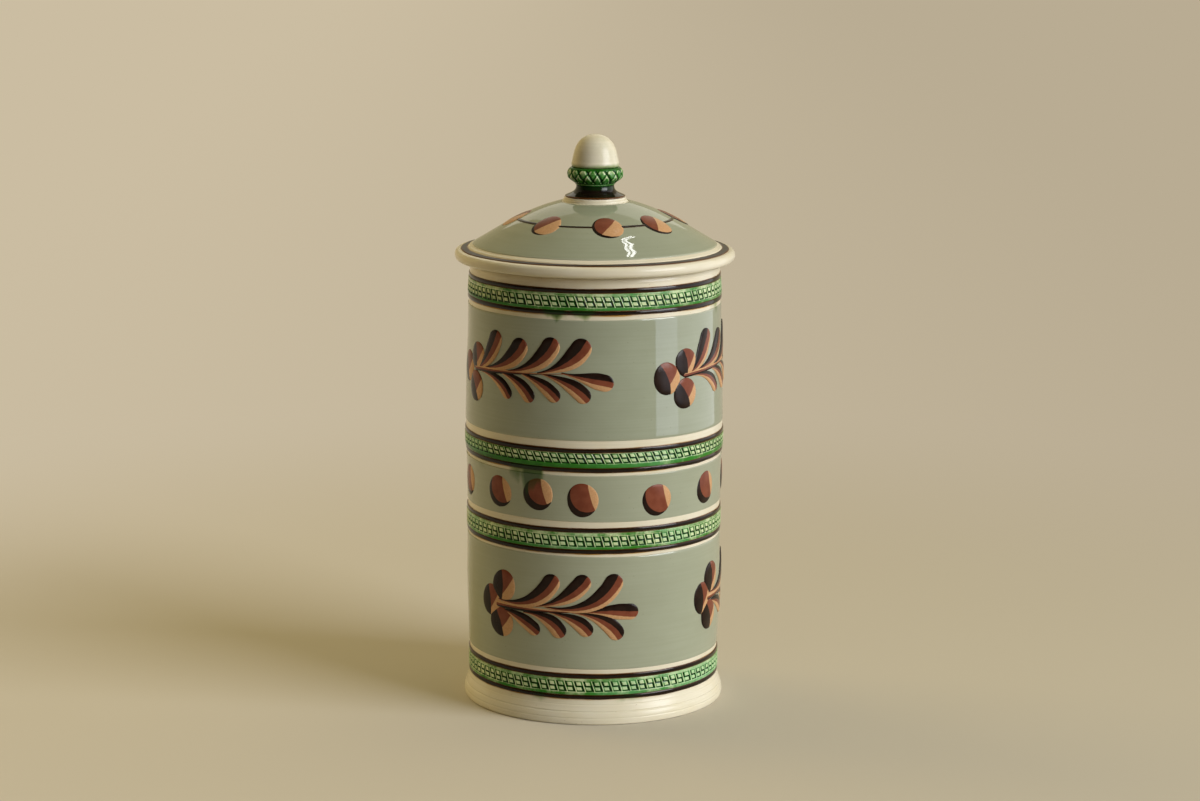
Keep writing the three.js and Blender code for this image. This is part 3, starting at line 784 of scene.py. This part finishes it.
def leaf_points(tail, bend, end, round_end, order):
    """Points of one poured stroke: across, up, lift, and its dark and tan sides."""
    tail, bend, end = np.array(tail), np.array(bend), np.array(end)
    run = np.linspace(0, 1, 22)[:, None]
    spine = (1 - run) ** 2 * tail + 2 * run * (1 - run) * bend + run ** 2 * end
    heading = (1 - run) * (bend - tail) + run * (end - bend)
    heading = heading / np.linalg.norm(heading, axis=1)[:, None]
    sweep = np.radians(np.array([14, 28, 41, 53, 64, 74, 82, 88]))[:, None]
    spine = np.vstack([spine, end + round_end * np.sin(sweep) * heading[-1]])
    heading = np.vstack([heading, np.repeat(heading[-1:], len(sweep), 0)])
    grown = np.clip(run / 0.85, 0, 1)
    full = round_end * np.vstack([0.1 + 0.9 * grown ** 2 * (3 - 2 * grown), np.ones_like(sweep)])
    half = full * np.vstack([np.ones_like(run), np.cos(sweep)])
    sideways = np.stack([-heading[:, 1], heading[:, 0]], 1)
    offset = half * (1 - 2 * leaf_across)
    laid = spine[:, None] + sideways[:, None] * offset[..., None]
    body = leaf_rise * (half / round_end) ** 0.55
    lift = body * (1 - np.abs(2 * leaf_across - 1) ** 3) ** 0.55 + order * 0.02
    lift[:, [0, -1]] = -0.05
    lift[-1] = -0.05
    share = (full - offset) / (2 * full)
    late = np.vstack([run, np.ones_like(sweep)]) ** 3
    upward = end[1] > tail[1]
    sway = chance.uniform(-0.03, 0.03)
    dark_side = (0.42 + sway + (0.08 if upward else -0.08) * late - share) * 2 * full
    tan_side = (share - 0.7 - sway - (0.14 if upward else -0.04) * late) * 2 * full
    under = spine[:, None] + sideways[:, None] * (half * np.array([-0.6, 0.6]))[..., None]
    laid = np.concatenate([laid, under], 1)
    lift = np.hstack([lift, np.full((len(lift), 2), -0.12)])
    dark_side = np.hstack([dark_side, dark_side[:, [-4, 3]]])
    tan_side = np.hstack([tan_side, tan_side[:, [-4, 3]]])
    rows, columns = lift.shape
    here = np.arange(rows * columns).reshape(rows, columns)
    beside = np.roll(here, -1, 1)
    faces = np.stack([here[:-1], beside[:-1], beside[1:], here[1:]], -1).reshape(-1, 4).tolist()
    faces.append(here[0][::-1].tolist())
    faces.append(here[-1].tolist())
    across, up = laid[..., 0].ravel(), laid[..., 1].ravel()
    return across, up, lift.ravel(), dark_side.ravel(), tan_side.ravel(), faces


def berry_points(across_at, up_at, width, height, faces_to, order):
    """Points of one of the round drops at the fork, and its dark and tan sides."""
    across, up, lift, faces = drop_points(width, height)
    x, y = across / (width / 2), up / (height / 2)
    way = math.radians(faces_to)
    dark_side = (x * math.cos(way) + y * math.sin(way) + 0.04 - 0.2 * y * y) * width / 2
    tan_side = (0.8 * x - 0.6 * y - 0.36 + 0.15 * y * y) * width / 2
    return across + across_at, up + up_at, lift + order * 0.05, dark_side, tan_side, faces


for row, (angles, height, leaves, berries) in twig_rows.items():
    for i, angle in enumerate(angles):
        strokes = [leaf_points(*leaf, order) for order, leaf in enumerate(leaves)]
        strokes += [berry_points(*berry, order) for order, berry in enumerate(berries)]
        points, faces, painted = [], [], {"dark_side": [], "tan_side": [], "green": []}
        count = 0
        for across, up, lift, dark_side, tan_side, stroke_faces in strokes:
            placed, green_level = on_wall(angle, height, across, up, lift)
            points.append(placed)
            faces += [[corner + count for corner in face] for face in stroke_faces]
            count += len(placed)
            painted["dark_side"].append(dark_side)
            painted["tan_side"].append(tan_side)
            painted["green"].append(green_level)
        paint = {label: np.concatenate(values) for label, values in painted.items()}
        twig = fired_mesh(f"twig_{row}_{i + 1}", np.vstack(points), faces, paint)
        set_down(twig, drops, "canister", f"twig_{row}_{i + 1}")

# Lid: thrown as a low dome with a thick rounded flange that overhangs the jar, a collar underneath that
# drops inside the mouth, and a stepped pad on top for the knob. Same cream clay and clear gloss.
lid_seat = 202.0
lid_reach = 63.48
lid_thickness = 5.5
dome_height = eased([
    (0, 229.75), (7, 229.5), (14, 228.6), (20, 227.1), (28, 224.2), (36, 220.46),
    (42, 217.2), (46, 214.8), (50, 212.4), (54, 210.0), (56, 208.8), (57, 208.2),
])
collar_outside = clay_radius(rim_top) - wall_thickness - 1
collar_inside = collar_outside - 4.5
collar_foot = 194.02
under_radii = np.linspace(1.5, collar_inside - 0.5, 40)
under_dome = dome_height(np.maximum(under_radii, 12)) - lid_thickness + 0.1 * np.sin(under_radii / 1.2)
flange_sweep = np.linspace(-math.pi / 2, math.pi / 2, 21)
flange_middle, flange_half, flange_round = 204.5, 2.5, 2.6
flange_radius = lid_reach - flange_round
flange_ledge = [
    (57, 208.4), (57.3, 208.1), (57.6, 207.75), (58, 207.52), (58.6, 207.36), (59.4, 207.22), (60.2, 207.12),
]
dome_radii = np.linspace(56.6, 15.3, 90)
lid_inside = np.vstack([
    np.stack([under_radii, under_dome], 1),
    [
        (collar_inside, 205.5), (collar_inside + 0.1, 200), (collar_inside + 0.3, 195.2),
        (collar_inside + 0.9, 194.3), (collar_inside + 2, collar_foot), (collar_outside - 1.6, collar_foot),
        (collar_outside - 0.5, 194.4), (collar_outside - 0.05, 195.4), (collar_outside, 200.8),
        (collar_outside + 0.2, 201.7), (collar_outside + 0.8, lid_seat + 0.02),
    ],
])
lid_outline = np.vstack([
    lid_inside,
    [(54, lid_seat), (57.5, lid_seat)],
    np.stack([
        flange_radius + flange_round * np.cos(flange_sweep) ** 0.8,
        flange_middle + flange_half * np.sign(np.sin(flange_sweep)) * np.abs(np.sin(flange_sweep)) ** 0.9,
    ], 1),
    flange_ledge[::-1],
    np.stack([dome_radii, dome_height(dome_radii) + 0.6 * ribbing(dome_radii * 1.1)], 1),
    [
        (14.95, 228.5), (14.6, 228.75), (14.5, 229.1), (14.42, 229.45), (14.25, 229.62), (14.1, 229.74),
        (14.02, 230.1), (13.95, 230.4), (13.8, 230.54), (10, 230.58), (4, 230.58),
    ],
])
lid_radius, lid_height = lid_outline[:, :1], lid_outline[:, 1:]
lid_wobble = waver(0.025, 4)(jar_angle)

# Amber along both edges of the flange's dark line and in the step of the pad
lid_amber = np.zeros((len(lid_outline), jar_columns))
outer_face = (np.arange(len(lid_outline)) >= len(lid_inside))[:, None]
for edge_radius, amount in ((57.75, 0.55), (60.75, 0.45)):
    near = np.exp(-((lid_radius - edge_radius) / 0.3) ** 2) * outer_face
    lid_amber = np.maximum(lid_amber, near * np.clip(amount + waver(0.2)(jar_angle), 0, 1))
pad_step = 229.68
lid_amber = np.maximum(lid_amber, 0.5 * np.exp(-((lid_height - pad_step) / 0.12) ** 2) * outer_face)
lid = turned(
    "thrown_lid", lid_radius, lid_height + lid_wobble * (lid_radius > 50), jar_angle,
    paint={"amber": lid_amber},
)
set_down(lid, cream, "lid", "lid_dome")

# Line on the flange: one trailed dark line, close in to the foot of the dome,
# rubbed dull where hands take hold of the lid.
line_radii = (57.75, 60.7)
flange_line_height = 0.38
inner_edge = line_radii[0] + waver(0.08, 20)(jar_angle)
outer_edge = line_radii[1] + waver(0.08, 20)(jar_angle)
radii = (inner_edge + outer_edge) / 2 + (outer_edge - inner_edge) / 2 * np.cos(line_sweep)
flange_top = eased([flange_ledge[0], *flange_ledge[2:], (61.5, 207)])
heights = flange_top(radii) + lid_wobble + 0.02 + flange_line_height * np.sin(line_sweep) ** 0.8
back_radius = np.array([[59.2]]) + 0 * jar_angle
back_height = flange_top(back_radius) + lid_wobble - 0.1
rim_line = turned(
    "flange_line", np.vstack([radii, back_radius]), np.vstack([heights, back_height]), jar_angle, ring=True,
    paint={"edge": np.sin(line_sweep) * np.ones_like(jar_angle), "dull": np.ones(heights.size)},
)
set_down(rim_line, dark, "lid", "lid_rim_line")

# Slip field on the dome: the same grey-green slip, poured on the turning lid from just inside the flange
# up to the knob's pad, with thin rounded edges of which the outer one wavers a little.
field_edges = (55.45, 15.2)
dome_slip = 0.32
share = np.concatenate([
    [0, 0.002, 0.007, 0.016], np.linspace(0.03, 0.97, 80), [0.984, 0.993, 0.998, 1],
])[:, None]
to_edge = np.minimum(share, 1 - share)
lift = quarter_round(np.clip(to_edge / 0.016, 0, 1))
radii = field_edges[0] + share * (field_edges[1] - field_edges[0])
radii = radii + waver(0.1)(jar_angle) * (1 - share) ** 6
heights = dome_height(radii) + 0.02 + lift * (dome_slip + 0.3 * ribbing(radii * 1.1))
back_radius = np.array([[field_edges[1] + 0.4], [field_edges[0] - 0.4]]) + 0 * jar_angle
back_height = dome_height(back_radius) - 0.1
thin_and_lit = np.clip(1 - to_edge * (field_edges[0] - field_edges[1]) / thin_margin, 0, 1)
lid_field = turned(
    "dome_field", np.vstack([radii, back_radius]), np.vstack([heights, back_height]), jar_angle, ring=True,
    paint={"thin_and_lit": np.broadcast_to(thin_and_lit, heights.shape)},
)
set_down(lid_field, sage, "lid", "lid_slip_field")

# Garland: a thin dark line trailed round the dome while the lid turned, with eight drops strung on it.
# They are dabbed from the same three-chambered cup as the drops on the jar.
garland_radius = 35.4
garland_width = 1.35
garland_height = 0.24
garland_sweep = np.linspace(0, math.pi, 9)[:, None]
middle = garland_radius + waver(0.12, 8)(jar_angle)
half = garland_width / 2 * (1 + waver(0.1, 20)(jar_angle))
radii = middle + half * np.cos(garland_sweep)
heights = dome_height(radii) + dome_slip + 0.01 + garland_height * np.sin(garland_sweep) ** 0.8
garland = turned(
    "garland_line", np.vstack([radii, middle]), np.vstack([heights, dome_height(middle) + 0.1]), jar_angle,
    ring=True, paint={"edge": 0.4 + 0.6 * np.sin(garland_sweep) * np.ones_like(jar_angle)},
)
set_down(garland, dark, "lid", "lid_garland_line")

lid_eye_angles = [-88, -37, 9, 49.5, 97, 143, 188, 232]
lid_eye_width, lid_eye_length = 13.8, 15.8
dome_lean = math.atan(float(dome_height(garland_radius - 2) - dome_height(garland_radius + 2)) / 4)
for i, angle in enumerate(lid_eye_angles):
    width = lid_eye_width * chance.uniform(0.97, 1.03)
    across, up, lift, faces = drop_points(width, lid_eye_length * chance.uniform(0.96, 1.02))
    x, y = across / (lid_eye_width / 2), up / (lid_eye_length / 2)
    tan_side = (0.78 * x - 0.62 * y - 0.12 + chance.normal(0, 0.08)) * lid_eye_width / 2
    dark_side = (np.hypot(x - 0.2, y - 0.14) - 1.04) * lid_eye_width / 2
    foot = garland_radius - up * math.cos(dome_lean)
    reach = foot + lift * math.sin(dome_lean)
    turn = math.radians(angle) + across / garland_radius
    heights = dome_height(foot) + dome_slip + lift * math.cos(dome_lean)
    points = np.stack([reach * np.sin(turn), -reach * np.cos(turn), heights], -1)
    eye = fired_mesh(f"lid_eye_{i + 1}", points, faces, {"dark_side": dark_side, "tan_side": tan_side})
    set_down(eye, drops, "lid", f"lid_eye_{i + 1}")

# Knob: turned in three stages and luted to the pad. First comes a flared foot like a small spool,
# dipped in the dark slip, with some green run down its neck.
knob_angle = round_the_wheel(120)[None, :]
spool_radius = eased([
    (230.72, 13.5), (230.95, 13.7), (231.2, 13.5), (231.6, 12.7), (232.2, 11.3), (233.0, 9.9), (233.9, 9.05),
    (234.8, 8.7), (235.6, 8.6),
])
spool_bottom = 230.71
spool_rows = np.linspace(230.72, 235.68, 34)[:, None]
spool_outline = np.vstack([
    [(3, spool_bottom), (9, spool_bottom), (12.8, spool_bottom)],
    np.hstack([spool_radius(spool_rows), spool_rows]),
    [(5, 235.7)],
])
spool_height = spool_outline[:, 1:]
spool_edge = np.clip((spool_height - 230.9) / 0.7, 0.15, 1) * np.ones_like(knob_angle)
spool_green = np.clip((spool_height - 233.2) / 1.6, 0, 1) * np.ones_like(knob_angle)
spool = turned(
    "spool", spool_outline[:, :1], spool_height, knob_angle,
    paint={"edge": spool_edge, "green": spool_green},
)
set_down(spool, dark, "lid", "knob_foot")

# Cup: an acorn's cup, turned from the same clay, with a crossed lattice rolled into it.
# It has the same copper-green glaze as the bands, dark in the cuts and pale on the ridges, with a painted
# highlight along one side of each cut.
lattice_count = 17
lattice_turns = 15
cup_angle = round_the_wheel(lattice_count * lattice_turns)[None, :]
cup_radius = eased([
    (235.8, 8.6), (236.2, 9.05), (236.7, 9.35), (237.2, 9.85), (238.2, 11.2), (239.5, 12.45), (240.8, 12.7),
    (242.2, 12.5), (243.2, 11.95), (243.8, 11.4), (244.1, 10.9),
])
cup_rows = np.linspace(235.82, 244.06, 56)[:, None]
lattice_low, lattice_high = 237.1, 243.4
climb = (cup_rows - lattice_low) / (lattice_high - lattice_low)
within = np.clip(np.minimum(climb, 1 - climb) / 0.06, 0, 1)
phase = cup_angle * lattice_count / (2 * math.pi) + waver(0.07, 7)(cup_angle)
falling = (phase + 0.95 * climb) % 1
rising = (phase - 0.95 * climb + 0.5) % 1
falling_cut = np.exp(-(np.minimum(falling, 1 - falling) / 0.11) ** 2)
rising_cut = np.exp(-(np.minimum(rising, 1 - rising) / 0.08) ** 2)
# A painted highlight along one side of each cut; the lattice also grows paler towards the top
painted_highlight = np.exp(-((falling - 0.82) / 0.08) ** 2) + 0.7 * np.exp(-((rising - 0.2) / 0.08) ** 2)
lattice = np.clip(0.72 + 0.14 * climb + 0.3 * painted_highlight - 0.9 * falling_cut - 0.6 * rising_cut, 0, 1)
top_edge = climb > 1 + 0.03 * np.sin(2 * math.pi * phase)
cup_plain = np.where(top_edge, 0.42, 0.35) + 0.6 * np.exp(-((cup_rows - 236.55) / 0.16) ** 2)
cup_relief = lattice * within + cup_plain * (1 - within)
swelling = 0.12 * np.sin(math.pi * falling) * np.sin(math.pi * rising)
cup_face = cup_radius(cup_rows) - 0.1 + (swelling - 0.6 * falling_cut - 0.3 * rising_cut) * within
cup_bottom, cup_top = 235.81, 244.08
once = np.ones_like(cup_angle)
cup = turned(
    "acorn_cup",
    np.vstack([4 * once, 7.5 * once, cup_face, 9.5 * once, 5 * once]),
    np.vstack([cup_bottom * once, cup_bottom * once, cup_rows * once, cup_top * once, cup_top * once]),
    cup_angle,
    paint={
        "relief": np.vstack([0.5 * once, 0.5 * once, cup_relief, 0.4 * once, 0.4 * once]),
        "edge": np.ones(cup_face.size + 4 * once.size),
    },
)
set_down(cup, green, "lid", "knob_cup")

# Acorn: the nut itself, plain cream clay turned smooth and luted into the cup,
# with a little green crept up from it.
acorn_radius = eased([
    (0, 10.5), (0.6, 10.75), (3.1, 10.4), (5.7, 9.85), (8.2, 9.1), (10.2, 8.1),
    (11.9, 6.8), (13.1, 5.3), (13.9, 3.7), (14.35, 2.2), (14.52, 1.2),
])
acorn_bottom = 244.2
acorn_rows = np.concatenate([np.linspace(0, 12, 40), np.linspace(12.1, 14.52, 20)])[:, None]
acorn_outline = np.vstack([
    [(4, 0), (9.8, 0)],
    np.hstack([acorn_radius(acorn_rows), acorn_rows]),
    [(0.5, 14.56)],
])
acorn_height = acorn_outline[:, 1:]
acorn_tint = np.clip(1 - acorn_height / 2.6, 0.22, 1) * (0.85 + 0.15 * np.sin(3 * knob_angle))
acorn = turned(
    "acorn", acorn_outline[:, :1], acorn_bottom + acorn_height, knob_angle, paint={"green": acorn_tint},
)
set_down(acorn, cream, "lid", "knob_acorn")
